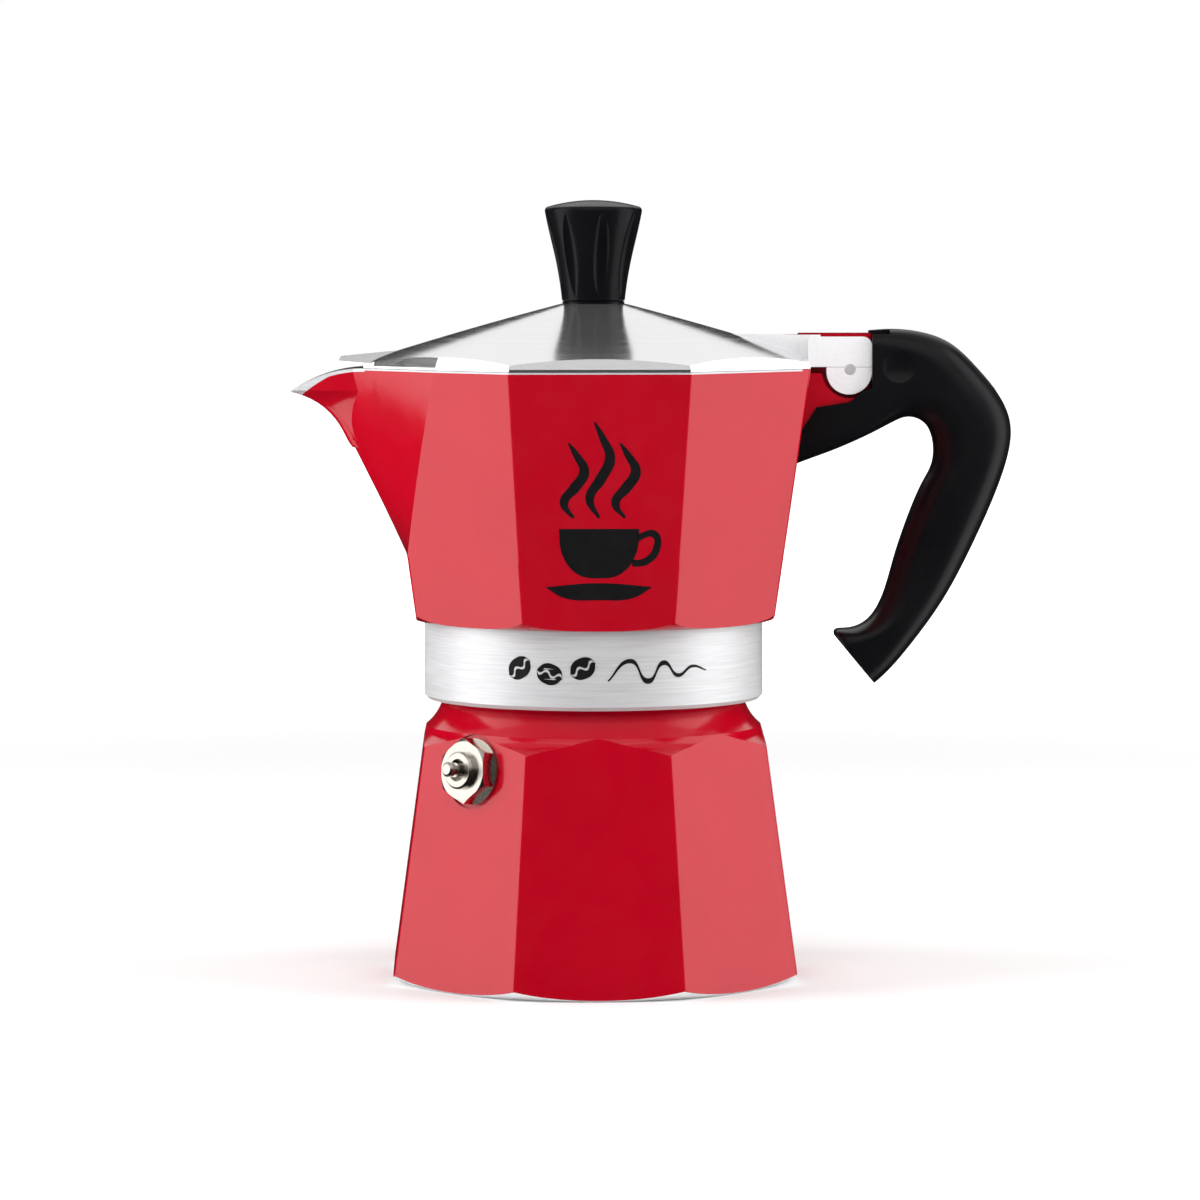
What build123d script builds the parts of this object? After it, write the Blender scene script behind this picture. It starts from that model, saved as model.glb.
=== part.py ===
from build123d import *
import os
from math import atan, cos, degrees, pi, radians, sin, sqrt, tan

# A three-cup stovetop moka pot in lacquered cast aluminium. Millimetres, +Z up. The origin is the
# centre of the flat base. The spout points along -X, the handle along +X, and the safety valve
# sits on the facet between -X and -Y.

# Driving dimensions
EIGHTH = 22.5                # half the angle of one facet of the octagon
BOILER_FLAT = 42.9           # axis to facet at the floor
BOILER_TAPER = 0.1336        # how fast the boiler's facets lean in
BOILER_WALL = 3.2
BOILER_FLOOR = 3.4
BASE_R = 42.0                # turned foot that meets the stove
WIDEST_R = 47.2              # corners of the boiler are turned off to this radius
SHOULDER_Z = (45.0, 51.75)   # where the shoulder starts and ends
SHOULDER_R = 37.2
NECK_R = 32.2                # outside of the boiler's neck, at the root of its thread
NECK_FOOT_Z = 59.2
NECK_BORE_R = 28.6
NECK_TOP_Z = 70.4
THREAD_PITCH = 3.0
THREAD_DEPTH = 1.5
THREAD_ROOT_W = 1.6
THREAD_CREST_W = 0.7
BAND_R = 36.05               # bare turned band at the foot of the collector
BAND_Z = 59.7
BAND_TOP_Z = 76.35
SKIRT_BORE_R = 34.1          # root of the thread inside the band
RIM_Z = 130.0                # top of the collector
RIM_FLAT = 45.05             # axis to facet at the rim
COLLECTOR_TAPER = 0.1386
WALL = 2.8
FLOOR_Z = 79.8               # floor inside the collector
COLUMN_TOP_Z = 118.0
COLUMN_BORE_R = 3.2
SEAT_Z = 143.4               # flat seat of the knob on the lid
LID_GAP = 0.1                # between the rim and the lid
LID_SKIN = 2.2
LID_EDGE = 0.5               # height of the lid's upright edge
LID_BEVEL = 4.6              # how far the bevel strips lean in over their full height
LID_BEVEL_H = 12.0
PIN_X, PIN_Z, PIN_R = 54.2, 129.6, 1.2
LUG_HALF = 3.4               # half the thickness of the hinge lug
EAR_IN, EAR_OUT = 3.7, 6.6   # the lid's two ears, measured from the middle plane
EAR_TOP_Z = 136.5
EAR_SWING_R = 7.75           # room in the handle for the ears' corners as the lid swings
EAR_STOP_X = (62.2, 62.8)    # face of the handle that the open lid comes to rest against
RUNNING = 0.05               # radial clearance of a pin or stem
VALVE_Z = 46.3
VALVE_TURN = 225             # direction of the valve's facet, from +X
HEX_FLATS = 12.0
SHANK_R = 4.4
CAVITY_R = 3.0
SPOT_R = 7.8                 # spot face that the valve's washer sits in
SPOT_DEPTH = 0.6
STEM_R = 1.2
BASKET_Z = 52.2
RIM_H = 0.8
TUBE_BORE_R = 4.4
GASKET_Z = 71.2
GASKET_H = 3.0
EDGE_R = 1.2                 # rounding of the octagon's upright edges
SPOUT_Z = 90.5               # foot of the spout
SPOUT_SPREAD = 0.85          # how far its roots wander across their facets, in half facets
SPOUT_KEEL = [               # height, how far out the keel is, rounding of the keel
    (SPOUT_Z, -39.9, 6.0),
    (99.0, -44.0, 4.0),
    (107.5, -48.4, 3.2),
    (114.0, -51.8, 3.0),
    (118.5, -54.0, 3.0),
    (RIM_Z + 1.5, -57.4, 3.0),
]
BEAK_KEEL = [                # height and reach of the beak that curves out of the spout's keel
    (113.0, -51.2),
    (116.5, -53.3),
    (119.5, -55.3),
    (122.0, -58.0),
    (123.6, -60.8),
    (124.6, -63.8),
    (125.2, -66.4),
]
BEAK_ROOT = (-43.0, 11.5)    # where the beak's sides start, inside the spout
BEAK_NOSE_R = 2.4
BEAK_WALL = 1.7
LIP = [(-48.0, 130.0), (-57.6, 128.4), (-66.5, 123.0)]
LIP_LIFT = 0.9
HANDLE_X = 58.8              # front of the handle beside the hinge
LUG_TOP_Z = 137.2
LUG_UNDERSIDE = [
    (58.8, 125.6),
    (57.0, 124.9),
    (54.1, 122.7),
    (47.1, 121.6),
    (44.9, 118.1),
    (43.04, 115.5),
]
TONGUE_X = 71.0
TONGUE_Z = (124.6, 134.4)
TONGUE_HALF = 3.0
SCREW_X = 64.6
SCREW_R = 1.9
SEAT_R = 7.0                 # flat top of the lid's cone
SLOT_X = 40.6                # end of the slot between the ears
LID_TIP_X = 54.4
LID_SIDES = (                # direction each upright side of the lid faces, and how far out it is
    (270, RIM_FLAT), (315, RIM_FLAT), (0, RIM_FLAT), (45, RIM_FLAT), (90, RIM_FLAT), (135, RIM_FLAT),
    (141.6, RIM_FLAT), (135, RIM_FLAT - 2.4), (180, LID_TIP_X + 0.1), (225, RIM_FLAT - 2.4),
    (218.4, RIM_FLAT), (225, RIM_FLAT),
)
PAD_H = 0.5
KNOB_SCREW_R = 1.95
HANDLE_STATIONS = [
    # point on the inner side, point on the outer side, half thickness, corner radius
    ((32.0, 105.2), (32.0, 133.0), 6.6, 3.2),
    ((41.5, 108.9), (41.3, 135.3), 6.9, 3.2),
    ((51.0, 112.5), (50.4, 137.0), 7.4, 3.2),
    ((59.0, 116.1), (58.6, 137.7), 8.0, 3.2),
    ((64.0, 118.6), (66.3, 137.9), 8.2, 4.6),
    ((67.3, 119.4), (75.3, 135.4), 8.3, 6.2),
    ((70.0, 118.5), (81.3, 130.2), 8.5, 6.8),
    ((71.8, 116.4), (86.2, 124.2), 8.6, 6.9),
    ((72.6, 113.2), (88.7, 118.4), 8.6, 6.9),
    ((72.3, 109.4), (88.5, 112.3), 8.6, 6.9),
    ((70.4, 105.5), (86.4, 105.2), 8.5, 6.9),
    ((66.9, 97.3), (82.3, 95.4), 8.3, 6.8),
    ((64.1, 88.8), (78.2, 86.9), 8.0, 6.4),
    ((61.5, 80.4), (73.9, 79.4), 7.8, 6.0),
    ((58.6, 76.0), (70.3, 74.3), 7.7, 5.6),
    ((54.6, 74.2), (66.3, 69.2), 7.5, 5.2),
    ((51.6, 72.6), (59.9, 62.6), 7.2, 5.0),
]

MIDDLE = Plane.XZ


def boiler_flat(z):
    return BOILER_FLAT - z * BOILER_TAPER


def collector_flat(z):
    return RIM_FLAT - (RIM_Z - z) * COLLECTOR_TAPER


def jug_space_flat(z):
    return collector_flat(z) - WALL


def octagon(flat, z):
    return Pos(0, 0, z) * RegularPolygon(flat, 8, major_radius=False, rotation=EIGHTH)


def tapered_octagon(flat_at, low, high, inset=0.0, edge_r=0.0):
    """Octagonal frustum whose facets lean as flat_at says, with rounded upright edges."""
    body = loft([octagon(flat_at(low) - inset, low), octagon(flat_at(high) - inset, high)], ruled=True)
    if edge_r:
        upright = [e for e in body.edges() if abs(e.center().Z - (low + high) / 2) < 1]
        body = fillet(upright, edge_r)
    return body


def outline(*points):
    """Closed polygon in the middle plane, from (x, z) points."""
    return make_face(MIDDLE * Polyline(*points, close=True))


def turned(*points):
    """Solid of revolution about Z, from (radius, z) points."""
    return revolve(outline(*points), Axis.Z)


def ring(inner, outer, low, high):
    return turned((inner, low), (outer, low), (outer, high), (inner, high))


def slab(face, low, high):
    """Pushes a face of the middle plane along Y, from low to high."""
    return Pos(0, high, 0) * extrude(face, high - low, dir=(0, -1, 0))


def thread(radius, outward, low, high):
    """One ridge of a right-hand thread that stands on a cylinder of that radius."""
    root = radius - 0.2 * outward
    path = Pos(0, 0, low) * Helix(THREAD_PITCH, high - low, root)
    crest = THREAD_DEPTH + 0.2
    half, top = THREAD_ROOT_W / 2, THREAD_CREST_W / 2
    start = Plane(origin=(root, 0, low), x_dir=(outward, 0, 0), z_dir=(0, -outward, 0))
    ridge = make_face(Polyline((0, -half), (crest, -top), (crest, top), (0, half), close=True))
    return sweep(start * ridge, path=path, is_frenet=True)


# Boiler

def boiler():
    envelope = revolve(make_face(MIDDLE * boiler_profile()), Axis.Z)
    body = tapered_octagon(boiler_flat, 0, NECK_TOP_Z + 1, edge_r=EDGE_R) & envelope
    body += thread(NECK_R, 1, 61.6, 68.6)
    body -= boiler_space()
    spot = Pos(0, 0, -SPOT_DEPTH) * Cylinder(SPOT_R, 6, align=(Align.CENTER, Align.CENTER, Align.MIN))
    hole = Cylinder(SHANK_R, 20)
    return body - valve_place() * spot - valve_place() * hole


def boiler_profile():
    """Turned outline that trims the octagon: foot, upright corners, shoulder, cove and neck."""
    low, high = SHOULDER_Z
    foot = ThreePointArc((BASE_R, 0), (43.6, 0.75), (WIDEST_R, 3.0))
    up = Polyline((WIDEST_R, 3.0), (WIDEST_R, low), (SHOULDER_R, high))
    crown = ThreePointArc((SHOULDER_R, high), (36.25, 52.7), (35.7, 53.9))
    cove = ThreePointArc((35.7, 53.9), (33.6, 56.2), (NECK_R, NECK_FOOT_Z))
    neck = Polyline((NECK_R, NECK_FOOT_Z), (NECK_R, NECK_TOP_Z - 0.5), (NECK_R - 0.5, NECK_TOP_Z),
                    (0, NECK_TOP_Z), (0, 0), (BASE_R, 0))
    return foot + up + crown + cove + neck


def boiler_space():
    """Turned hollow of the boiler, with a rounded floor and the straight bore of the neck."""
    low, high = BOILER_FLOOR + 4, 48
    low_r = boiler_flat(low) - BOILER_WALL
    high_r = boiler_flat(high) - BOILER_WALL
    bottom = ThreePointArc((low_r - 4, BOILER_FLOOR), (low_r - 1.2, BOILER_FLOOR + 1.2), (low_r, low))
    sides = Polyline((low_r, low), (high_r, high), (NECK_BORE_R, 56), (NECK_BORE_R, 72), (0, 72),
                     (0, BOILER_FLOOR), (low_r - 4, BOILER_FLOOR))
    return revolve(make_face(MIDDLE * (bottom + sides)), Axis.Z)


# Safety valve, drawn along its own axis: zero is the facet, plus is outward

def valve_place():
    flat = boiler_flat(VALVE_Z)
    facet = Pos(flat * cos(radians(VALVE_TURN)), flat * sin(radians(VALVE_TURN)), VALVE_Z)
    return facet * Rot(0, 0, VALVE_TURN) * Rot(0, 90 - degrees(atan(BOILER_TAPER)), 0)


def valve_body():
    """Hexagon nut, boss and shank in one piece, hollow for the spring."""
    nut = extrude(RegularPolygon(HEX_FLATS / 2, 6, major_radius=False, rotation=7), 3.2)
    bevel = turned((0, 0), (9, 0), (9, 1.6), (6.1, 3.2), (0, 3.2))
    boss = turned((0, 3.0), (3.95, 3.0), (3.95, 4.3), (3.55, 4.7), (0, 4.7))
    shank = turned((0, -9), (4.0, -9), (SHANK_R, -8.6), (SHANK_R, 0), (0, 0))
    cavity = turned((0, -9), (CAVITY_R, -9), (CAVITY_R, 2.8), (2.35, 2.8), (2.35, 4.7), (0, 4.7))
    return valve_place() * ((nut & bevel) + boss + shank - cavity)


def valve_washer():
    return valve_place() * ring(SHANK_R + 0.1, 6.9, -SPOT_DEPTH, 0)


def valve_seat():
    return valve_place() * ring(1.7, CAVITY_R, -9, -7)


def valve_bush():
    return valve_place() * ring(STEM_R + RUNNING, CAVITY_R, 1.6, 2.8)


def valve_stem():
    """Grooved head, rod and the flange that carries the seal."""
    head = [(0, 7.9), (1.1, 7.9), (1.55, 7.5), (1.55, 6.5), (1.0, 6.3), (1.0, 5.7), (1.5, 5.5), (1.5, 4.7)]
    rod = [(STEM_R, 4.5), (STEM_R, -5.5), (2.6, -5.5), (2.6, -6.2), (1.05, -6.2), (1.05, -7.6), (0, -7.9)]
    return valve_place() * turned(*head, *rod)


def valve_seal():
    return valve_place() * ring(1.05, 2.7, -7, -6.2)


def valve_spring():
    low, high, wire_r, coil_r, turns = -5.15, 1.25, 0.3, 2.1, 5
    path = Pos(0, 0, low) * Helix((high - low) / turns, high - low, coil_r)
    start = Plane(origin=path @ 0, z_dir=path % 0)
    return valve_place() * sweep(start * Circle(wire_r), path=path, is_frenet=True)


# Funnel that holds the ground coffee

def hole_grid(rings, step):
    """Centres of evenly spread holes: one in the middle and six more in each further ring."""
    places = [(0.0, 0.0)]
    for n in range(1, rings + 1):
        for k in range(6 * n):
            turn = 2 * pi * k / (6 * n)
            places.append((n * step * cos(turn), n * step * sin(turn)))
    return places


def pierced(disc, rings, step, hole_r, z):
    holes = [Pos(x, y, z) * Cylinder(hole_r, 4) for x, y in hole_grid(rings, step)]
    return disc - holes


def basket():
    low, high, rim_r = BASKET_Z, NECK_TOP_Z + RIM_H, 31.4
    wall = [(27.0, low), (27.7, low), (28.2, 69.4), (28.2, NECK_TOP_Z)]
    rim = [(rim_r, NECK_TOP_Z), (rim_r, high), (27.4, high), (27.4, 69.4)]
    return turned(*wall, *rim)


def basket_screen():
    return pierced(ring(0, 26.9, BASKET_Z, BASKET_Z + 0.8), 7, 3.4, 0.6, BASKET_Z)


def funnel_stem():
    """Shallow cone under the basket and the tube that reaches down into the water."""
    rim = [(26.9, 51.4), (27.7, 51.4), (27.7, BASKET_Z), (26.5, BASKET_Z)]
    inner = [(6.0, 46.2), (TUBE_BORE_R, 44.6), (TUBE_BORE_R, 9.0)]
    outer = [(TUBE_BORE_R + 0.8, 9.0), (TUBE_BORE_R + 0.8, 44.2), (6.6, 45.5)]
    return turned(*rim, *inner, *outer)


# Seal between the boiler and the collector

def gasket():
    return ring(25.6, 32.4, GASKET_Z, GASKET_Z + GASKET_H)


def filter_plate():
    low = GASKET_Z + GASKET_H
    disc = turned((0, low + 0.7), (21.4, low + 0.7), (22.6, low), (27.2, low), (27.2, low + 0.8),
                  (23.0, low + 0.8), (21.8, low + 1.5), (0, low + 1.5))
    return pierced(disc, 7, 2.9, 0.55, low + 1.1)


# Collector, the upper chamber

def spout_sections(inset=0.0, lift=0.0):
    """Level sections of the collector with its spout, each with nine corners and rounded edges."""
    sections = []
    for z, nose, nose_r in SPOUT_KEEL:
        share = (z - SPOUT_Z) / (RIM_Z - SPOUT_Z)
        flat = collector_flat(z) - inset
        corner = flat / cos(radians(EIGHTH))
        along = Vector(-flat * cos(radians(45)), -flat * sin(radians(45)))
        reach = flat * tan(radians(EIGHTH)) * (1 - SPOUT_SPREAD * share)
        root = along + Vector(-cos(radians(45)), sin(radians(45))) * reach
        tip = Vector(nose + inset, 0)
        half_angle = atan(-root.Y / (root.X - tip.X))
        round_r = max(nose_r - inset, 0.6)
        low = tip + (root - tip).normalized() * round_r / tan(half_angle)
        bulge = tip + Vector(round_r / sin(half_angle) - round_r, 0)
        sections.append(nine_corners(z + lift, corner, root, low, bulge))
    return sections


def nine_corners(z, corner, root, low, bulge):
    turns = [-112.5, -67.5, -22.5, 22.5, 67.5, 112.5]
    round_r = EDGE_R * tan(radians(EIGHTH))
    mirror_root, mirror_low = Vector(root.X, -root.Y), Vector(low.X, -low.Y)
    lines = [ThreePointArc(mirror_low, bulge, low), Line(low, root)]
    here = root
    for turn in turns:
        peak = Vector(corner * cos(radians(turn)), corner * sin(radians(turn)))
        before = peak + Vector(cos(radians(turn - 112.5)), sin(radians(turn - 112.5))) * round_r
        after = peak + Vector(cos(radians(turn + 112.5)), sin(radians(turn + 112.5))) * round_r
        middle = peak * (1 - EDGE_R * (1 / cos(radians(EIGHTH)) - 1) / corner)
        lines += [Line(here, before), ThreePointArc(before, middle, after)]
        here = after
    lines += [Line(here, mirror_root), Line(mirror_root, mirror_low)]
    return Pos(0, 0, z) * make_face(lines)


def jug(inset=0.0, lift=0.0):
    """The upper part of the collector as a solid, with the spout, before it is hollowed."""
    return loft(spout_sections(inset, lift))


def beak(inset=0.0, lift=0.0):
    """Narrow beak that curves out of the keel just under the lip."""
    sections = []
    start, half = BEAK_ROOT[0], BEAK_ROOT[1] - inset
    for z, nose in BEAK_KEEL:
        centre = nose + inset + BEAK_NOSE_R
        out = Vector(nose + inset, 0)
        side = Vector(centre - BEAK_NOSE_R * 0.34, BEAK_NOSE_R * 0.94)
        arc = ThreePointArc((side.X, -side.Y), out, side)
        rest = Polyline(side, (start, half), (start, -half), (side.X, -side.Y))
        sections.append(Pos(0, 0, z + lift) * make_face(arc + rest))
    level = Pos(0, 0, RIM_Z + 2 - BEAK_KEEL[-1][0]) * sections[-1]
    return loft(sections) + loft([sections[-1], level], ruled=True)


def above_lip():
    """Everything above the rim, which is level but bends down along the lip of the spout."""
    end_x, end_z = LIP[2]
    rest = Polyline((end_x, end_z), (-80, end_z), (-80, 150), (60, 150), (60, RIM_Z), LIP[0])
    return slab(make_face(MIDDLE * (ThreePointArc(*LIP) + rest)), -60, 60)


def column():
    """Hollow column that the coffee rises through, with two windows near its top."""
    post = turned((0, FLOOR_Z - 1), (13, FLOOR_Z - 1), (13, FLOOR_Z), (9.2, 84), (7.6, 90),
                  (5.6, COLUMN_TOP_Z - 1.5), (4.1, COLUMN_TOP_Z), (0, COLUMN_TOP_Z))
    windows = Pos(0, 0, COLUMN_TOP_Z - 6.5) * Box(30, 4.0, 6.0)
    return post - windows


def inlet():
    """Space under the collector's floor and up through the column."""
    low = GASKET_Z + GASKET_H
    skirt = [(0, 50), (SKIRT_BORE_R, 50), (SKIRT_BORE_R, GASKET_Z - 0.5), (32.6, GASKET_Z - 0.5)]
    seat = [(32.6, low + 0.8), (24.0, low + 0.8), (24.0, 76.6), (9.4, 76.6)]
    bore = [(COLUMN_BORE_R, 84), (COLUMN_BORE_R, COLUMN_TOP_Z - 2), (0, COLUMN_TOP_Z - 2)]
    return turned(*skirt, *seat, *bore)


def hinge_lug():
    """Middle lug of the hinge, the bracket below the ears and the tongue inside the handle."""
    lug = outline((43.9, LUG_TOP_Z), (HANDLE_X, LUG_TOP_Z), *LUG_UNDERSIDE, (42.4, 113),
                  (42.4, RIM_Z - 2), (43.3, RIM_Z), (43.3, LUG_TOP_Z - 0.6))
    wide = outline((HANDLE_X, RIM_Z - 1.2), *LUG_UNDERSIDE, (42.4, 113), (42.4, RIM_Z - 1.2))
    tongue = tongue_outline(58)
    scoop = Pos(PIN_X, 0, PIN_Z) * Rot(90, 0, 0) * Cylinder(6.1, 40)
    bracket = slab(wide, -EAR_OUT, EAR_OUT) - scoop
    return slab(lug, -LUG_HALF, LUG_HALF) + bracket + slab(tongue, -TONGUE_HALF, TONGUE_HALF)


def tongue_outline(start):
    low, high = TONGUE_Z
    return outline((start, low), (TONGUE_X, low), (TONGUE_X, high), (start, high))


def pin_bore(radius):
    return Pos(PIN_X, 0, PIN_Z) * Rot(90, 0, 0) * Cylinder(radius, 40)


def handle_screw_hole(radius):
    return Pos(SCREW_X, 0, 120) * Cylinder(radius, 13.4, align=(Align.CENTER, Align.CENTER, Align.MIN))


def collector_foot():
    """Turned outline of the octagon's lower end, which is cut in towards the bare band."""
    belly = ThreePointArc((BAND_R, BAND_TOP_Z), (39.4, 77.0), (42.2, 80.2))
    rest = Polyline((42.2, 80.2), (60, 96), (60, 100), (0, 100), (0, BAND_TOP_Z - 0.6),
                    (BAND_R, BAND_TOP_Z - 0.6), (BAND_R, BAND_TOP_Z))
    return revolve(make_face(MIDDLE * (belly + rest)), Axis.Z)


def collector():
    upright = tapered_octagon(collector_flat, BAND_TOP_Z - 0.6, SPOUT_Z, edge_r=EDGE_R)
    band = turned((0, BAND_Z), (BAND_R - 0.8, BAND_Z), (BAND_R, BAND_Z + 0.8), (BAND_R, BAND_TOP_Z),
                  (0, BAND_TOP_Z))
    outside = band + (upright & collector_foot()) + jug() + beak() - above_lip()
    inside = tapered_octagon(jug_space_flat, FLOOR_Z, RIM_Z + 1, edge_r=3.0)
    spout_space = (jug(WALL, LIP_LIFT) & Pos(-50, 0, 110) * Box(60, 70, 60)) + beak(BEAK_WALL, LIP_LIFT)
    body = outside + hinge_lug() - (inside + spout_space)
    body += column()
    body -= inlet()
    body += thread(SKIRT_BORE_R, -1, 63.1, 69.1)
    return body - pin_bore(PIN_R + RUNNING) - handle_screw_hole(SCREW_R)


# Handle

def handle_section(inner, outer, half, round_r):
    """Rounded rectangle between a point on the handle's inner side and one on its outer side."""
    across = Vector(outer[0] - inner[0], 0, outer[1] - inner[1])
    centre = Vector((inner[0] + outer[0]) / 2, 0, (inner[1] + outer[1]) / 2)
    place = Plane(origin=centre, x_dir=across, z_dir=across.cross(Vector(0, 1, 0)))
    return place * RectangleRounded(across.length, 2 * half, min(round_r, across.length / 2 - 0.1))


def handle():
    """Moulded grip: an arm that fills the space under the hinge, a tight bend and a foot."""
    grip = loft([handle_section(*station) for station in HANDLE_STATIONS])
    front = outline((20, 150), (HANDLE_X, 150), *LUG_UNDERSIDE, (collector_flat(95), 95), (20, 95))
    body = grip - slab(front, -30, 30) - ear_pockets() - slab(tongue_outline(50), -TONGUE_HALF, TONGUE_HALF)
    for side in (-1, 1):
        body -= Pos(64.4, side * 11.9, 130.2) * scale(Sphere(1), by=(6.0, 4.6, 5.8))
    head = Pos(SCREW_X, 0, 112) * Cylinder(3.2, 9.6, align=(Align.CENTER, Align.CENTER, Align.MIN))
    return body - handle_screw_hole(SCREW_R) - head


def ear_pockets():
    """Two pockets in the front of the handle that the lid's ears turn into."""
    low, high = EAR_STOP_X
    stop = outline((50, 132.2), (low - 0.5, 132.2), (low, 133.0), (high, 139), (50, 139))
    inner, outer = EAR_IN - 0.1, EAR_OUT + 0.2
    pockets = pin_bore(EAR_SWING_R) & (Pos(PIN_X, 0, PIN_Z) * Box(40, 2 * outer, 40))
    pockets += slab(stop, -outer, outer)
    return pockets - Box(400, 2 * inner, 400)


def handle_screw():
    low, length = 121.6, 11.4
    shank = Pos(SCREW_X, 0, low) * Cylinder(SCREW_R, length, align=(Align.CENTER, Align.CENTER, Align.MIN))
    head = turned((0, low), (3.0, low), (3.0, low - 1.4), (2.2, low - 2.3), (0, low - 2.3))
    slot = Pos(SCREW_X, 0, low - 2.3) * Box(0.9, 8, 2.0)
    return shank + Pos(SCREW_X, 0, 0) * head - slot


# Lid

def lid_outline(inset, z):
    """Outline of the lid: an octagon drawn out to a blunt tip over the spout."""
    corners = []
    for (turn, reach), (next_turn, next_reach) in zip(LID_SIDES, LID_SIDES[1:] + LID_SIDES[:1]):
        a, b = radians(turn), radians(next_turn)
        first, second = reach - 0.1 - inset, next_reach - 0.1 - inset
        x = (first * sin(b) - second * sin(a)) / sin(b - a)
        y = (second * cos(a) - first * cos(b)) / sin(b - a)
        corners.append((x, y))
    return Pos(0, 0, z) * make_face(Polyline(*corners, close=True))


def lid_cone():
    """Turned cone of the lid, slightly domed."""
    curve = ThreePointArc((SEAT_R, SEAT_Z), (27, 137.9), (56, 128.9))
    sides = Polyline((56, 128.9), (56, 120), (0, 120), (0, SEAT_Z), (SEAT_R, SEAT_Z))
    return revolve(make_face(MIDDLE * (curve + sides)), Axis.Z)


def lid_roof():
    """Low roof that carries the lid out over the spout and leans down a little."""
    section = Polyline((-30, 129.6), (0, 134.1), (30, 129.6), (30, 112), (-30, 112), close=True)
    start = Pos(-36, 0, 0) * (Plane.YZ * make_face(section))
    return extrude(start, 26, dir=(-cos(radians(5.5)), 0, -sin(radians(5.5))))


def lid():
    low = RIM_Z + LID_GAP
    bevel = low + LID_BEVEL_H
    edge = extrude(lid_outline(0, low), LID_EDGE)
    strips = loft([lid_outline(0, low + LID_EDGE), lid_outline(LID_BEVEL, bevel)], ruled=True)
    above = extrude(lid_outline(LID_BEVEL, bevel), 6)
    body = (edge + strips + above) & (lid_cone() + lid_roof())
    body -= turned((0, 120), (40.8, 120), (40.8, 131.0), (40.0, 131.6), (SEAT_R, SEAT_Z - LID_SKIN),
                   (0, SEAT_Z - LID_SKIN))
    body -= slab(outline((-39, low - 1), (-39, low + 1.2), (-46, low + 1.2), (-50, low + 0.7),
                         (-60, low + 0.7), (-60, low - 1)), -5, 5)
    body -= slab(outline((-48.7, low - 1), (-48.7, low + 0.7), (-60, low + 0.7), (-60, low - 1)), -20, 20)
    for piece in hinge_arm(low):
        body += piece
    slot = slab(outline((SLOT_X, 110), (70, 110), (70, 150), (SLOT_X, 150)), -EAR_IN, EAR_IN)
    return body - slot - pin_bore(PIN_R) - knob_hole()


def hinge_arm(low):
    """Bridge from the cone to the hinge and the two ears, still in one piece."""
    bridge = outline((30, low + 1.5), (30, 136.6), (32, 136.9), (48, 136.9), (48, low + 0.2),
                     (44, low + 0.2), (43, low + 1.5))
    ear = (Polyline((49.2, 129.4), (49.2, low), (45.3, low), (45.3, EAR_TOP_Z - 0.6))
           + ThreePointArc((45.3, EAR_TOP_Z - 0.6), (45.48, EAR_TOP_Z - 0.18), (45.9, EAR_TOP_Z))
           + Line((45.9, EAR_TOP_Z), (57.0, EAR_TOP_Z))
           + ThreePointArc((57.0, EAR_TOP_Z), (58.27, 135.97), (58.8, 134.7))
           + Line((58.8, 134.7), (58.8, 129.4))
           + ThreePointArc((58.8, 129.4), (54.0, 124.3), (49.2, 129.4)))
    return slab(bridge, -5.2, 5.2), slab(make_face(MIDDLE * ear), -EAR_OUT, EAR_OUT)


def hinge_pin():
    rod = Pos(PIN_X, 0, PIN_Z) * Rot(90, 0, 0) * Cylinder(PIN_R, 2 * EAR_OUT + 0.3)
    return chamfer(rod.edges().filter_by(GeomType.CIRCLE), 0.25)


# Knob

def knob_hole():
    return Pos(0, 0, 145) * Cylinder(KNOB_SCREW_R + 0.15, 20)


def knob():
    """Flared grip with eight pointed flutes around it."""
    low = SEAT_Z + PAD_H
    side = Spline((6.7, low + 0.4), (7.2, 148.2), (8.1, 153.1), (9.3, 158.2), (10.3, 162.9))
    rim = ThreePointArc((10.3, 162.9), (10.2, 163.6), (9.6, 164.05))
    top = TangentArc((0, 165.4), (9.6, 164.05), tangent=(1, 0))
    foot = Polyline((0, 165.4), (0, low), (6.3, low), (6.7, low + 0.4))
    body = revolve(make_face(MIDDLE * (side + rim + top + foot)), Axis.Z)
    spindle_arc = ThreePointArc((0, -12.3), (2.3, 0), (0, 12.3))
    spindle = revolve(make_face(MIDDLE * (spindle_arc + Line((0, 12.3), (0, -12.3)))), Axis.Z)
    for k in range(8):
        body -= Rot(0, 0, 9.4 + 45 * k) * Pos(9.6, 0, 153.7) * Rot(0, 11.3, 0) * spindle
    return body - Pos(0, 0, low) * Cylinder(KNOB_SCREW_R, 11, align=(Align.CENTER, Align.CENTER, Align.MIN))


def knob_pad():
    return ring(KNOB_SCREW_R + 0.15, 6.6, SEAT_Z, SEAT_Z + PAD_H)


def knob_screw():
    under = SEAT_Z - LID_SKIN
    shank = turned((0, under), (KNOB_SCREW_R, under), (KNOB_SCREW_R, SEAT_Z + 10), (0, SEAT_Z + 10))
    head = turned((0, under), (3.6, under), (3.6, under - 1.2), (2.4, under - 2.2), (0, under - 2.2))
    slot = Pos(0, 0, under - 2.2) * Box(9, 0.9, 2.0)
    return shank + head - slot


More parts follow.
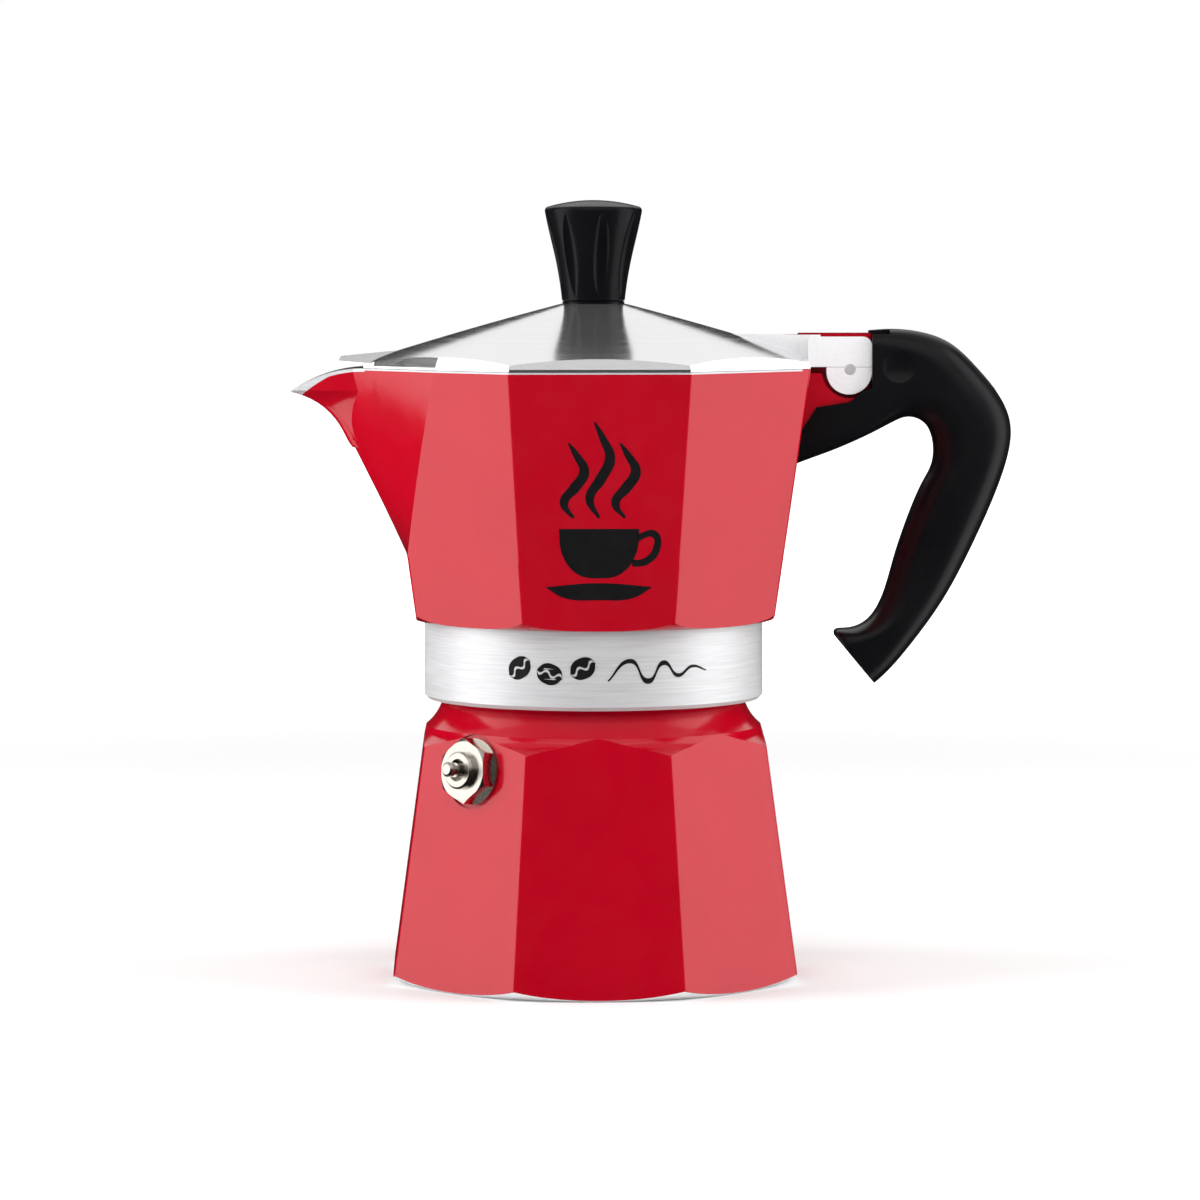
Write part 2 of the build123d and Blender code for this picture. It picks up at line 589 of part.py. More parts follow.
PARTS = {
    "boiler": boiler,
    "valve_body": valve_body,
    "valve_washer": valve_washer,
    "valve_seat": valve_seat,
    "valve_bush": valve_bush,
    "valve_stem": valve_stem,
    "valve_seal": valve_seal,
    "valve_spring": valve_spring,
    "funnel_basket": basket,
    "funnel_screen": basket_screen,
    "funnel_stem": funnel_stem,
    "gasket": gasket,
    "filter_plate": filter_plate,
    "collector": collector,
    "handle": handle,
    "handle_screw": handle_screw,
    "lid": lid,
    "hinge_pin": hinge_pin,
    "knob": knob,
    "knob_pad": knob_pad,
    "knob_screw": knob_screw,
}

os.makedirs("parts", exist_ok=True)
for name, make in PARTS.items():
    export_step(make(), f"parts/{name}.step")
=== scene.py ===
import bpy
import math
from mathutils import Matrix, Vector


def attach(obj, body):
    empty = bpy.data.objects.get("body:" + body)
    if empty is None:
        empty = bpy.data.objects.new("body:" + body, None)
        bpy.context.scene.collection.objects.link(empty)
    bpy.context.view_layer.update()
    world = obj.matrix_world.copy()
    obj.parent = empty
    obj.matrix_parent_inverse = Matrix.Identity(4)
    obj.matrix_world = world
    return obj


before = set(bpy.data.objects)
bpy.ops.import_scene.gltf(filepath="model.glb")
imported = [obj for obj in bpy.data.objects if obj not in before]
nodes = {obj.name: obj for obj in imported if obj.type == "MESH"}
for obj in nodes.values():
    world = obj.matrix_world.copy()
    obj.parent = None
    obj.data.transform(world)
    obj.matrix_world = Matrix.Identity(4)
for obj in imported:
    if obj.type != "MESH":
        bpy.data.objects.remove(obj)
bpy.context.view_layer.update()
mm = 0.001
print("frame loaded:", len(nodes), "nodes")


# a long lens, level with the knob
camera = {
    "distance": 1.128,
    "turn": math.radians(-1.65),      # a little towards the spout
    "eyeHeight": 0.160,
    "aim": Vector((0.0014, 0.0, 0.0803)),
    "lens": 159.0,
}


def addCamera(c):
    bpy.ops.object.select_all(action="DESELECT")
    eye = Vector((math.sin(c["turn"]) * c["distance"],
                  -math.cos(c["turn"]) * c["distance"], c["eyeHeight"]))
    bpy.ops.object.camera_add(location=eye)
    cam = bpy.context.object
    cam.rotation_euler = (c["aim"] - eye).to_track_quat("-Z", "Y").to_euler()
    cam.data.lens = c["lens"]
    cam.data.sensor_width = 36.0
    cam.data.clip_start = 0.01
    bpy.context.scene.camera = cam


addCamera(camera)


# floor and studio light
studio = {
    "floorSize": 8.0,
    "floorColour": (0.72, 0.72, 0.72, 1.0),
    "floorWhiteFrom": 0.45,           # past this the floor melts into the white behind it
    "floorWhiteTo": 1.1,
    "skySeen": 1.0,
    "skyMirrored": 0.01,
    "skyLight": 0.52,
    # name: place, aim, width and height, power, seen in what shines, lights what is matt
    "boxes": {
        "leftBox": ((-0.55, -0.07, 0.10), (0, -0.07, 0.10), (0.40, 1.20), 2.8, True, True),
        "rightBox": ((0.55, -0.07, 0.10), (0, -0.07, 0.10), (0.40, 1.20), 2.4, True, True),
        "leftFill": ((-0.95, -0.12, 0.30), (0, 0, 0.08), (0.80, 0.80), 11.0, False, True),
        "rightFill": ((0.95, -0.12, 0.30), (0, 0, 0.08), (0.80, 0.80), 10.5, False, True),
        "backBox": ((0.0, 1.15, 1.05), (0, 0, 0.14), (1.9, 1.1), 6.4, True, True),
        "frontFill": ((0.0, -1.25, 1.15), (0, 0, 0.08), (1.4, 0.7), 8.0, False, True),
        "frontCard": ((0.0, -1.25, 1.10), (0, 0, 0.08), (2.4, 1.2), 6.0, True, True),
        "topCard": ((0.0, 0.0, 1.90), (0, 0, 0), (3.2, 3.2), 15.0, True, False),
    },
}


def addFloor(s):
    bpy.ops.object.select_all(action="DESELECT")
    bpy.ops.mesh.primitive_plane_add(size=s["floorSize"], location=(0, 0, 0))
    floor = bpy.context.object
    floor.name = "floor"
    floor.visible_glossy = False      # the lacquer mirrors the dark studio, not the sheet it stands on
    mat = bpy.data.materials.new("paleFloor")
    mat.use_nodes = True
    tree = mat.node_tree
    shader = tree.nodes["Principled BSDF"]
    shader.inputs["Base Color"].default_value = s["floorColour"]
    shader.inputs["Roughness"].default_value = 0.9
    shader.inputs["Specular IOR Level"].default_value = 0.0
    shader.inputs["Emission Color"].default_value = (1, 1, 1, 1)
    coords = tree.nodes.new("ShaderNodeTexCoord")
    distance = tree.nodes.new("ShaderNodeVectorMath")
    distance.operation = "LENGTH"
    fade = tree.nodes.new("ShaderNodeMapRange")
    fade.interpolation_type = "SMOOTHSTEP"
    fade.inputs["From Min"].default_value = s["floorWhiteFrom"]
    fade.inputs["From Max"].default_value = s["floorWhiteTo"]
    tree.links.new(coords.outputs["Object"], distance.inputs[0])
    tree.links.new(distance.outputs["Value"], fade.inputs["Value"])
    tree.links.new(fade.outputs["Result"], shader.inputs["Emission Strength"])
    floor.data.materials.append(mat)


def addSoftBox(name, place, aim, size, power, mirrored, lights):
    bpy.ops.object.light_add(type="AREA", location=place)
    lamp = bpy.context.object
    lamp.name = name
    lamp.rotation_euler = (Vector(aim) - Vector(place)).to_track_quat("-Z", "Y").to_euler()
    lamp.data.shape = "RECTANGLE"
    lamp.data.size, lamp.data.size_y = size
    lamp.data.energy = power
    lamp.visible_camera = False
    lamp.visible_glossy = mirrored
    lamp.visible_diffuse = lights


def addSky(s):
    # white behind the pot, darker in what it mirrors
    world = bpy.data.worlds.new("studioSky")
    bpy.context.scene.world = world
    world.use_nodes = True
    tree = world.node_tree
    background = tree.nodes["Background"]
    background.inputs["Color"].default_value = (1, 1, 1, 1)
    path = tree.nodes.new("ShaderNodeLightPath")
    mirrored = tree.nodes.new("ShaderNodeMapRange")
    mirrored.inputs["To Min"].default_value = s["skyLight"]
    mirrored.inputs["To Max"].default_value = s["skyMirrored"]
    seen = tree.nodes.new("ShaderNodeMix")
    seen.inputs["B"].default_value = s["skySeen"]
    tree.links.new(path.outputs["Is Glossy Ray"], mirrored.inputs["Value"])
    tree.links.new(path.outputs["Is Camera Ray"], seen.inputs["Factor"])
    tree.links.new(mirrored.outputs["Result"], seen.inputs["A"])
    tree.links.new(seen.outputs["Result"], background.inputs["Strength"])


addFloor(studio)
addSky(studio)
for boxName, boxPlan in studio["boxes"].items():
    addSoftBox(boxName, *boxPlan)
bpy.context.scene.view_settings.view_transform = "Standard"
print("studio ready")


# small helpers for the material nodes

def startFinish(name, colour, metallic, roughness):
    mat = bpy.data.materials.new(name)
    mat.use_nodes = True
    tree = mat.node_tree
    shader = tree.nodes["Principled BSDF"]
    shader.inputs["Base Color"].default_value = (*colour, 1.0)
    shader.inputs["Metallic"].default_value = metallic
    shader.inputs["Roughness"].default_value = roughness
    return mat, tree, shader


def feed(tree, socket, value):
    # a number goes on the socket, anything else is wired to it
    if isinstance(value, (int, float)):
        socket.default_value = value
    elif isinstance(value, tuple):
        needsAlpha = len(value) == 3 and len(socket.default_value) == 4
        socket.default_value = (*value, 1.0) if needsAlpha else value
    else:
        tree.links.new(value, socket)


def calc(tree, operation, a, b=0.0, c=0.0):
    node = tree.nodes.new("ShaderNodeMath")
    node.operation = operation
    for socket, value in zip(node.inputs, (a, b, c)):
        feed(tree, socket, value)
    return node.outputs[0]


def ramp(tree, value, low, high, outLow=0.0, outHigh=1.0):
    node = tree.nodes.new("ShaderNodeMapRange")
    for socket, number in zip(node.inputs, (value, low, high, outLow, outHigh)):
        feed(tree, socket, number)
    return node.outputs[0]


def blendColours(tree, share, first, second):
    node = tree.nodes.new("ShaderNodeMix")
    node.data_type = "RGBA"
    feed(tree, node.inputs[0], share)
    feed(tree, node.inputs[6], first)
    feed(tree, node.inputs[7], second)
    return node.outputs[2]


def blendNumbers(tree, share, first, second):
    node = tree.nodes.new("ShaderNodeMix")
    feed(tree, node.inputs[0], share)
    feed(tree, node.inputs[2], first)
    feed(tree, node.inputs[3], second)
    return node.outputs[0]


def place(tree, shift=(0, 0, 0), turn=(0, 0, 0)):
    # object coordinates, moved and turned onto a piece, as x, y and z
    coords = tree.nodes.new("ShaderNodeTexCoord")
    mapping = tree.nodes.new("ShaderNodeMapping")
    mapping.vector_type = "TEXTURE"
    mapping.inputs["Location"].default_value = shift
    mapping.inputs["Rotation"].default_value = turn
    split = tree.nodes.new("ShaderNodeSeparateXYZ")
    tree.links.new(coords.outputs["Object"], mapping.inputs["Vector"])
    tree.links.new(mapping.outputs[0], split.inputs[0])
    return split.outputs[0], split.outputs[1], split.outputs[2]


def join(tree, x, y, z):
    node = tree.nodes.new("ShaderNodeCombineXYZ")
    for socket, value in zip(node.inputs, (x, y, z)):
        feed(tree, socket, value)
    return node.outputs[0]


def noise(tree, point, scale, detail=2.0, roughness=0.5):
    node = tree.nodes.new("ShaderNodeTexNoise")
    feed(tree, node.inputs["Vector"], point)
    node.inputs["Scale"].default_value = scale
    node.inputs["Detail"].default_value = detail
    node.inputs["Roughness"].default_value = roughness
    return node.outputs["Fac"]


def fromAxis(tree, x, y):
    return calc(tree, "SQRT", calc(tree, "ADD", calc(tree, "MULTIPLY", x, x), calc(tree, "MULTIPLY", y, y)))


def turningMarks(tree, x, y, z, scale):
    # fine grooves that run round the axis on any turned face
    return noise(tree, join(tree, fromAxis(tree, x, y), z, 0.0), scale, 3.0, 0.7)


def addBump(tree, shader, height):
    # the height is in metres
    bump = tree.nodes.new("ShaderNodeBump")
    bump.inputs["Strength"].default_value = 1.0
    bump.inputs["Distance"].default_value = 1.0
    feed(tree, bump.inputs["Height"], height)
    tree.links.new(bump.outputs[0], shader.inputs["Normal"])


def octagonReach(tree, x, y):
    # distance from the axis to the octagon's facet plane through a point
    half = math.sqrt(0.5)
    sides = calc(tree, "ADD", calc(tree, "ABSOLUTE", x), calc(tree, "ABSOLUTE", y))
    slant = calc(tree, "MULTIPLY", sides, half)
    straight = calc(tree, "MAXIMUM", calc(tree, "ABSOLUTE", x), calc(tree, "ABSOLUTE", y))
    return calc(tree, "MAXIMUM", slant, straight)


# where the boiler was left bare, in metres
boilerTurned = {
    "baseFlat": 0.0429,               # axis to facet at the base
    "lean": -0.1336,                  # how the facet draws in as it rises
    "footHeight": 0.0032,
    "footGap": 0.00012,
    "insideTop": 0.047,
    "insideGap": 0.0016,
    "throatRadius": 0.031,
    "neckFrom": 0.0606,
}

lacquer = {
    "red": (0.36, 0.0, 0.009),
    "deepRed": (0.30, 0.0, 0.007),
    "roughness": 0.12,
    "bareMetal": (0.60, 0.60, 0.61),
    "grooveMetal": (0.47, 0.47, 0.48),
    "bareMetallic": 0.35,             # a turned casting scatters much of its light
    "footPaintedLight": (0.93, 0.93, 0.94),  # painted light: the turned foot faces down and gets little light, so its metal is painted brighter than the band
    "bareRoughness": 0.46,
    "orangePeel": 0.00002,
    "grooves": 0.00003,
}


def lacquerOverMetal(name, bareMask):
    mat, tree, shader = startFinish(name, lacquer["red"], 0.0, lacquer["roughness"])
    x, y, z = place(tree)
    bare = bareMask(tree, x, y, z)
    point = join(tree, x, y, z)
    mottle = noise(tree, point, 60.0, 3.0)
    red = blendColours(tree, mottle, lacquer["deepRed"], lacquer["red"])
    marks = turningMarks(tree, x, y, z, 2600.0)
    wide = noise(tree, join(tree, calc(tree, "MULTIPLY", x, 6.0), calc(tree, "MULTIPLY", y, 6.0),
                            calc(tree, "MULTIPLY", z, 160.0)), 16.0, 3.0)
    shade = calc(tree, "MULTIPLY", ramp(tree, marks, 0.3, 0.7, 0.3, 1.0),
                 ramp(tree, wide, 0.3, 0.6, 0.2, 1.0))
    metal = blendColours(tree, shade, lacquer["grooveMetal"], lacquer["bareMetal"])
    # painted light: below the foot height the bare metal is painted brighter and made non-metallic, to lift
    # a face that looks down at the floor
    foot = calc(tree, "LESS_THAN", z, boilerTurned["footHeight"])
    metal = blendColours(tree, foot, metal, lacquer["footPaintedLight"])
    tree.links.new(blendColours(tree, bare, red, metal), shader.inputs["Base Color"])
    metallic = calc(tree, "MULTIPLY", bare, calc(tree, "MULTIPLY_ADD", foot, -1.0, 1.0))
    tree.links.new(calc(tree, "MULTIPLY", metallic, lacquer["bareMetallic"]), shader.inputs["Metallic"])
    smooth = ramp(tree, noise(tree, point, 180.0), 0.3, 0.7,
                  lacquer["roughness"], lacquer["roughness"] + 0.05)
    turnedRough = ramp(tree, marks, 0.3, 0.7,
                       lacquer["bareRoughness"] - 0.06, lacquer["bareRoughness"] + 0.08)
    tree.links.new(blendNumbers(tree, bare, smooth, turnedRough), shader.inputs["Roughness"])
    peel = calc(tree, "MULTIPLY", noise(tree, point, 420.0, 2.0), lacquer["orangePeel"])
    groove = calc(tree, "MULTIPLY", marks, lacquer["grooves"])
    addBump(tree, shader, blendNumbers(tree, bare, peel, groove))
    return mat


def boilerBare(tree, x, y, z):
    # bare where the foot is turned, under the collector's band and inside
    b = boilerTurned
    reach = octagonReach(tree, x, y)
    facet = calc(tree, "MULTIPLY_ADD", z, b["lean"], b["baseFlat"])
    foot = calc(tree, "MULTIPLY", calc(tree, "LESS_THAN", z, b["footHeight"]),
                calc(tree, "LESS_THAN", reach, calc(tree, "SUBTRACT", facet, b["footGap"])))
    inside = calc(tree, "MULTIPLY", calc(tree, "LESS_THAN", z, b["insideTop"]),
                  calc(tree, "LESS_THAN", reach, calc(tree, "SUBTRACT", facet, b["insideGap"])))
    throat = calc(tree, "LESS_THAN", fromAxis(tree, x, y), b["throatRadius"])
    neck = calc(tree, "GREATER_THAN", z, b["neckFrom"])
    lower = calc(tree, "MAXIMUM", foot, inside)
    return calc(tree, "MAXIMUM", lower, calc(tree, "MAXIMUM", throat, neck))


# where the collector was left bare, in metres
collectorTurned = {
    "outwardLeast": 0.22,             # a face that looks out less than this belongs to the inside
    "jugFloor": 0.0785,
    "lugFrom": 0.0432,                # past this is the hinge lug, which is red all over
    "coreRadius": 0.031,
    "bandTop": 0.0763,
    "rim": 0.12962,
    "lipCentre": (-0.04849, 0.10336),     # the rim bends down round this point, given as x and z
    "lipRadius": 0.02665,
    "lipWidth": 0.0007,
    "tipWidth": 0.0024,
    "widenFrom": -0.0560,
    "widenTo": -0.0645,
}


def collectorBare(tree, x, y, z):
    # bare on the band, along the rim and lip and inside; the hinge lug stays red
    c = collectorTurned
    normal = tree.nodes.new("ShaderNodeNewGeometry").outputs["True Normal"]
    turned = tree.nodes.new("ShaderNodeVectorTransform")      # so that it turns with the collector
    turned.vector_type = "NORMAL"
    turned.convert_from = "WORLD"
    turned.convert_to = "OBJECT"
    split = tree.nodes.new("ShaderNodeSeparateXYZ")
    tree.links.new(normal, turned.inputs[0])
    tree.links.new(turned.outputs[0], split.inputs[0])
    radius = fromAxis(tree, x, y)
    outward = calc(tree, "DIVIDE",
                   calc(tree, "ADD", calc(tree, "MULTIPLY", x, split.outputs[0]),
                        calc(tree, "MULTIPLY", y, split.outputs[1])),
                   radius)
    inward = calc(tree, "MULTIPLY", calc(tree, "LESS_THAN", outward, c["outwardLeast"]),
                  calc(tree, "GREATER_THAN", z, c["jugFloor"]))
    notLug = calc(tree, "LESS_THAN", x, c["lugFrom"])
    core = calc(tree, "LESS_THAN", radius, c["coreRadius"])
    band = calc(tree, "LESS_THAN", z, c["bandTop"])
    rim = calc(tree, "MULTIPLY", calc(tree, "GREATER_THAN", z, c["rim"]), notLug)
    fromLip = fromAxis(tree, calc(tree, "SUBTRACT", x, c["lipCentre"][0]),
                       calc(tree, "SUBTRACT", z, c["lipCentre"][1]))
    lipWidth = ramp(tree, x, c["widenFrom"], c["widenTo"], c["lipWidth"], c["tipWidth"])
    edge = calc(tree, "GREATER_THAN", calc(tree, "ADD", fromLip, lipWidth), c["lipRadius"])
    edge = calc(tree, "MULTIPLY", edge, calc(tree, "LESS_THAN", x, c["lipCentre"][0]))
    rim = calc(tree, "MAXIMUM", rim, edge)
    inner = calc(tree, "MAXIMUM", calc(tree, "MULTIPLY", inward, notLug), calc(tree, "MAXIMUM", core, band))
    return calc(tree, "MAXIMUM", rim, inner)


polish = {
    "colour": (0.86, 0.86, 0.87),
    "grooveColour": (0.80, 0.80, 0.81),
    "partingColour": (0.42, 0.42, 0.43),
    "partingHeight": 0.1301,          # where the two halves of the mould met on the ears
    "roughness": 0.14,
    "grooves": 0.000004,
    "earsFrom": 0.0440,
    "earsTo": 0.0452,
    "bridgeFrom": 0.0290,
    "bridgeTo": 0.0310,
    "bridgeHalf": 0.0053,
    "partingHalf": 0.00007,
    "coneMetallic": 0.95,
    "castMetallic": 0.30,
}


def polishedLid():
    mat, tree, shader = startFinish("polishedLid", polish["colour"], 1.0, polish["roughness"])
    x, y, z = place(tree)
    marks = turningMarks(tree, x, y, z, 1500.0)
    ears = ramp(tree, x, polish["earsFrom"], polish["earsTo"])
    bridge = calc(tree, "MULTIPLY", ramp(tree, x, polish["bridgeFrom"], polish["bridgeTo"]),
                  calc(tree, "LESS_THAN", calc(tree, "ABSOLUTE", y), polish["bridgeHalf"]))
    asCast = calc(tree, "MAXIMUM", ears, bridge)
    metallic = blendNumbers(tree, asCast, polish["coneMetallic"], polish["castMetallic"])
    tree.links.new(metallic, shader.inputs["Metallic"])
    fromParting = calc(tree, "ABSOLUTE", calc(tree, "SUBTRACT", z, polish["partingHeight"]))
    parting = calc(tree, "MULTIPLY", ears, calc(tree, "LESS_THAN", fromParting, polish["partingHalf"]))
    tone = blendColours(tree, ramp(tree, marks, 0.3, 0.7), polish["grooveColour"], polish["colour"])
    tree.links.new(blendColours(tree, parting, tone, polish["partingColour"]), shader.inputs["Base Color"])
    cone = ramp(tree, marks, 0.25, 0.75, 0.10, 0.20)
    tumbled = ramp(tree, noise(tree, join(tree, x, y, z), 900.0, 3.0), 0.3, 0.7, 0.50, 0.62)
    tree.links.new(blendNumbers(tree, asCast, cone, tumbled), shader.inputs["Roughness"])
    addBump(tree, shader, calc(tree, "MULTIPLY", marks, polish["grooves"]))
    return mat


def pressedSheet():
    mat, tree, shader = startFinish("pressedSheet", (0.76, 0.76, 0.77), 1.0, 0.32)
    x, y, z = place(tree)
    point = join(tree, x, y, z)
    marks = turningMarks(tree, x, y, z, 1800.0)
    cloud = noise(tree, point, 90.0, 4.0)
    tone = blendColours(tree, cloud, (0.66, 0.66, 0.67), (0.84, 0.84, 0.85))
    tree.links.new(tone, shader.inputs["Base Color"])
    tree.links.new(ramp(tree, cloud, 0.3, 0.7, 0.26, 0.42), shader.inputs["Roughness"])
    addBump(tree, shader, calc(tree, "MULTIPLY", marks, 0.000008))
    return mat


plastic = {"black": (0.0030, 0.0030, 0.0038), "greyer": (0.0055, 0.0055, 0.0065)}


def blackPlastic(name, roughness, shine, grain):
    mat, tree, shader = startFinish(name, plastic["black"], 0.0, roughness)
    shader.inputs["Specular IOR Level"].default_value = shine
    x, y, z = place(tree)
    point = join(tree, x, y, z)
    cloud = noise(tree, point, 70.0, 3.0)
    tone = blendColours(tree, cloud, plastic["black"], plastic["greyer"])
    tree.links.new(tone, shader.inputs["Base Color"])
    sheen = ramp(tree, cloud, 0.3, 0.7, roughness - 0.04, roughness + 0.05)
    tree.links.new(sheen, shader.inputs["Roughness"])
    fine = calc(tree, "MULTIPLY", noise(tree, point, 2400.0, 2.0), grain)
    addBump(tree, shader, fine)
    return mat


def plainMetal(name, colour, darker, roughness, metallic=1.0, shift=(0, 0, 0), turn=(0, 0, 0), scale=3000.0):
    mat, tree, shader = startFinish(name, colour, metallic, roughness)
    x, y, z = place(tree, shift, turn)
    marks = turningMarks(tree, x, y, z, scale)
    tree.links.new(blendColours(tree, marks, darker, colour), shader.inputs["Base Color"])
    sheen = ramp(tree, marks, 0.3, 0.7, roughness - 0.06, roughness + 0.08)
    tree.links.new(sheen, shader.inputs["Roughness"])
    addBump(tree, shader, calc(tree, "MULTIPLY", marks, 0.00001))
    return mat


def softRubber():
    mat, tree, shader = startFinish("softRubber", (0.78, 0.77, 0.71), 0.0, 0.6)
    x, y, z = place(tree)
    point = join(tree, x, y, z)
    cloud = noise(tree, point, 150.0, 4.0)
    tone = blendColours(tree, cloud, (0.70, 0.68, 0.60), (0.84, 0.83, 0.78))
    tree.links.new(tone, shader.inputs["Base Color"])
    tree.links.new(ramp(tree, cloud, 0.3, 0.7, 0.52, 0.70), shader.inputs["Roughness"])
    addBump(tree, shader, calc(tree, "MULTIPLY", noise(tree, point, 1600.0), 0.00002))
    return mat


def dress(material, *names):
    for name in names:
        slots = nodes[name].data.materials
        slots.clear()
        slots.append(material)


valveAxis = {"shift": (-0.02596, -0.02596, 0.0463), "turn": (0.0, math.radians(82.39), math.radians(225.0))}
dress(lacquerOverMetal("boilerLacquer", boilerBare), "boiler")
dress(lacquerOverMetal("collectorLacquer", collectorBare), "collector")
dress(polishedLid(), "lid")
dress(pressedSheet(), "funnel_basket", "funnel_screen", "funnel_stem", "filter_plate")
dress(blackPlastic("handlePlastic", 0.30, 0.20, 0.000006), "handle")
dress(blackPlastic("knobPlastic", 0.26, 0.12, 0.000003), "knob", "knob_pad")
dress(plainMetal("platedBrass", (0.70, 0.67, 0.62), (0.50, 0.47, 0.42), 0.24, **valveAxis),
      "valve_body", "valve_seat", "valve_bush", "valve_stem", "valve_washer")
dress(plainMetal("springWire", (0.55, 0.55, 0.56), (0.40, 0.40, 0.41), 0.25), "valve_spring")
dress(plainMetal("screwSteel", (0.62, 0.62, 0.63), (0.42, 0.42, 0.43), 0.28), "handle_screw", "knob_screw")
dress(plainMetal("pinSteel", (0.66, 0.66, 0.67), (0.50, 0.50, 0.51), 0.34, 0.45, (0.0542, 0, 0.1296),
                 (math.radians(90), 0, 0)), "hinge_pin")
dress(softRubber(), "gasket", "valve_seal")
print("finishes on", len(nodes), "nodes")


# black prints, thin as ink: a steaming cup on the front facet, beans and a flourish round the band
ink = {
    "thickness": 0.00006,
    "proud": 0.00003,
    "colour": (0.004, 0.004, 0.005),
    "worn": (0.009, 0.008, 0.009),
}


def inkFinish():
    mat, tree, shader = startFinish("printedInk", ink["colour"], 0.0, 0.4)
    shader.inputs["Specular IOR Level"].default_value = 0.25
    x, y, z = place(tree)
    point = join(tree, x, y, z)
    cloud = noise(tree, point, 500.0, 3.0)
    tree.links.new(blendColours(tree, cloud, ink["colour"], ink["worn"]), shader.inputs["Base Color"])
    tree.links.new(ramp(tree, cloud, 0.3, 0.7, 0.34, 0.48), shader.inputs["Roughness"])
    addBump(tree, shader, calc(tree, "MULTIPLY", cloud, 0.000004))
    return mat


def inkShape(name, points, sharp=()):
    # a flat filled outline through the points, given in millimetres; the sharp ones stay corners
    bpy.ops.object.select_all(action="DESELECT")
    bpy.ops.curve.primitive_bezier_circle_add(radius=mm)
    shape = bpy.context.object
    shape.name = name
    outline = shape.data.splines[0]
    outline.bezier_points.add(len(points) - len(outline.bezier_points))
    for number, (knot, (across, up)) in enumerate(zip(outline.bezier_points, points)):
        knot.co = (across * mm, up * mm, 0.0)
        kind = "VECTOR" if number in sharp else "AUTO"
        knot.handle_left_type = kind
        knot.handle_right_type = kind
    shape.data.dimensions = "2D"
    shape.data.fill_mode = "BOTH"
    shape.data.resolution_u = 10
    shape.data.extrude = ink["thickness"] / 2
    bpy.ops.object.convert(target="MESH")
    return bpy.context.object


def inkStroke(name, path, widths):
    # a pen stroke along the path, as wide as widths says at each of its points
    left, right = [], []
    for number, (across, up) in enumerate(path):
        before, after = path[max(number - 1, 0)], path[min(number + 1, len(path) - 1)]
        run = Vector((after[0] - before[0], after[1] - before[1])).normalized() * widths[number] / 2
        left.append((across - run.y, up + run.x))
        right.append((across + run.y, up - run.x))
    return inkShape(name, left + right[::-1], sharp=(0, len(path) - 1, len(path), 2 * len(path) - 1))


def joinInk(name, shapes):
    bpy.ops.object.select_all(action="DESELECT")
    for shape in shapes:
        shape.select_set(True)
    bpy.context.view_layer.objects.active = shapes[0]
    bpy.ops.object.join()
    printPiece = bpy.context.object
    printPiece.name = name
    bpy.ops.object.mode_set(mode="EDIT")
    bpy.ops.mesh.select_all(action="SELECT")
    bpy.ops.mesh.remove_doubles(threshold=0.000001)
    bpy.ops.mesh.normals_make_consistent(inside=False)
    bpy.ops.object.mode_set(mode="OBJECT")
    return printPiece


cup = {
    "height": 0.1035,                 # middle of the print on the facet
    "rimHeight": 0.130,
    "rimFlat": 0.04505,               # axis to facet at the rim
    "lean": 0.1386,                   # how the facet leans out as it rises
    "size": 1.15,
    "bowl": [(-7.2, -5.0), (-6.6, -9.6), (-3.9, -13.2), (0, -14.0),
             (3.9, -13.2), (6.6, -9.6), (7.2, -5.0), (0, -5.0)],
    "handle": [(6.9, -6.6), (9.9, -6.0), (10.3, -8.6), (8.4, -10.9), (5.9, -11.3)],
    "saucer": [(-9.6, -15.6), (0, -14.9), (9.6, -15.6), (6.2, -17.6), (0, -18.0), (-6.2, -17.6)],
    "steam": [(0.0, -3.0), (-1.7, 0.4), (0.2, 4.0), (1.9, 7.8), (0.5, 11.6), (-0.9, 14.4)],
    "steamWidths": [0.5, 1.5, 1.9, 1.8, 1.2, 0.3],
}


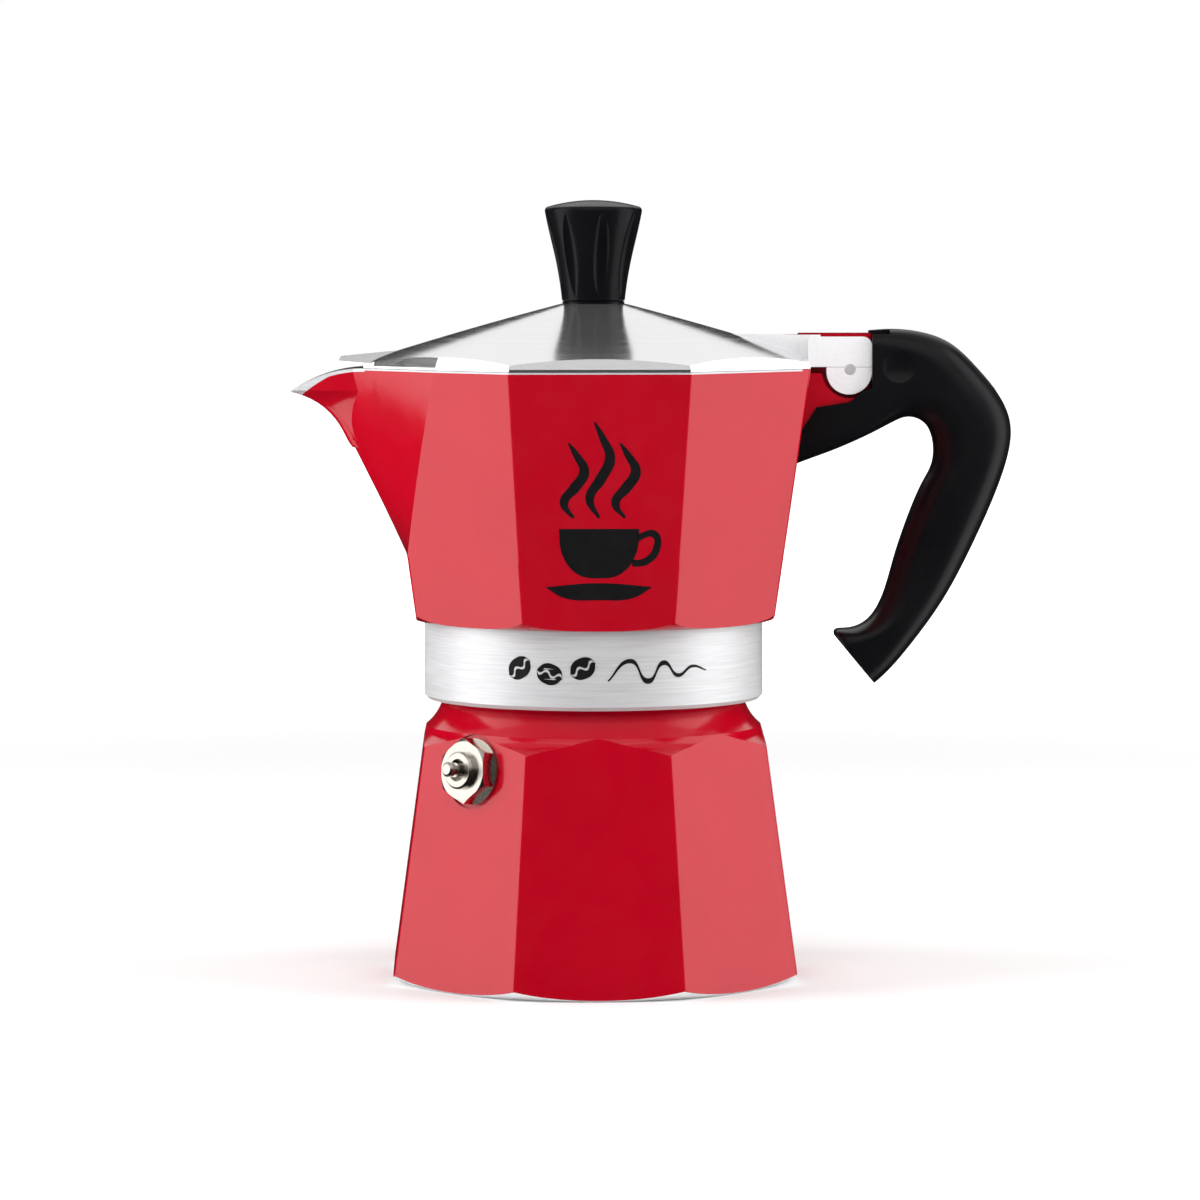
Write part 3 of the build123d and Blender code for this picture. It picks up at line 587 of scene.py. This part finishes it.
def addCup(c):
    shapes = [inkShape("bowl", c["bowl"], sharp=(0, 6, 7)), inkShape("saucer", c["saucer"], sharp=(0, 2))]
    shapes.append(inkStroke("cupHandle", c["handle"], [1.3] * len(c["handle"])))
    for shift, size in ((-4.6, 0.78), (0.0, 1.0), (4.6, 0.78)):
        path = [(shift + across, -3.0 + (up + 3.0) * size) for across, up in c["steam"]]
        shapes.append(inkStroke("steam", path, c["steamWidths"]))
    cupPrint = joinInk("cup_print", shapes)
    cupPrint.scale = (c["size"], c["size"], 1.0)
    facet = c["rimFlat"] - (c["rimHeight"] - c["height"]) * c["lean"]
    lean = math.atan(c["lean"])
    cupPrint.rotation_euler = (math.radians(90) + lean, 0, 0)
    outward = Vector((0, -math.cos(lean), -math.sin(lean)))
    cupPrint.location = Vector((0, -facet, c["height"])) + outward * ink["proud"]
    bpy.ops.object.transform_apply(location=True, rotation=True, scale=True)
    return cupPrint


beanRow = {
    "radius": 0.03605,
    "height": 0.0680,
    "size": 1.25,
    "bean": [(-2.3, 0.0), (-1.4, 1.35), (0.2, 1.75), (1.7, 1.2),
             (2.3, 0.0), (1.4, -1.35), (-0.2, -1.75), (-1.7, -1.2)],
    "crease": [(-1.7, -0.5), (-0.6, 0.35), (0.6, -0.35), (1.7, 0.5)],
    "creaseHalf": 0.22,
    "places": [(-13.5, 0.4, 35), (-8.2, -0.5, -20), (-2.6, 0.5, 25)],
    "flourish": [(1.6, -1.6), (5.4, 1.7), (8.4, -1.7), (11.2, 1.3),
                 (13.8, -0.9), (16.6, 0.5), (19.6, -0.3)],
    "flourishWidths": [0.25, 0.75, 0.9, 0.8, 0.65, 0.5, 0.2],
}


def turnedPoints(points, spot):
    across, up, degrees = spot
    along, over = math.cos(math.radians(degrees)), math.sin(math.radians(degrees))
    return [(across + u * along - v * over, up + u * over + v * along) for u, v in points]


def addBeans(b):
    shapes = []
    for spot in b["places"]:
        half = b["bean"][:5] + [(u, v + b["creaseHalf"]) for u, v in b["crease"][::-1]]
        other = b["bean"][4:] + b["bean"][:1] + [(u, v - b["creaseHalf"]) for u, v in b["crease"]]
        shapes.append(inkShape("beanTop", turnedPoints(half, spot), sharp=(0, 4)))
        shapes.append(inkShape("beanFoot", turnedPoints(other, spot), sharp=(0, 4)))
    shapes.append(inkStroke("flourish", b["flourish"], b["flourishWidths"]))
    beans = joinInk("bean_print", shapes)
    for vertex in beans.data.vertices:      # wrapped round the band
        turn = vertex.co.x * b["size"] / b["radius"]
        reach = b["radius"] + ink["proud"] + vertex.co.z
        vertex.co = (reach * math.sin(turn), -reach * math.cos(turn), b["height"] + vertex.co.y * b["size"])
    return beans


inkMaterial = inkFinish()
for piece in (addCup(cup), addBeans(beanRow)):
    piece.data.materials.clear()
    piece.data.materials.append(inkMaterial)
    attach(piece, "collector")
print("prints on the collector")
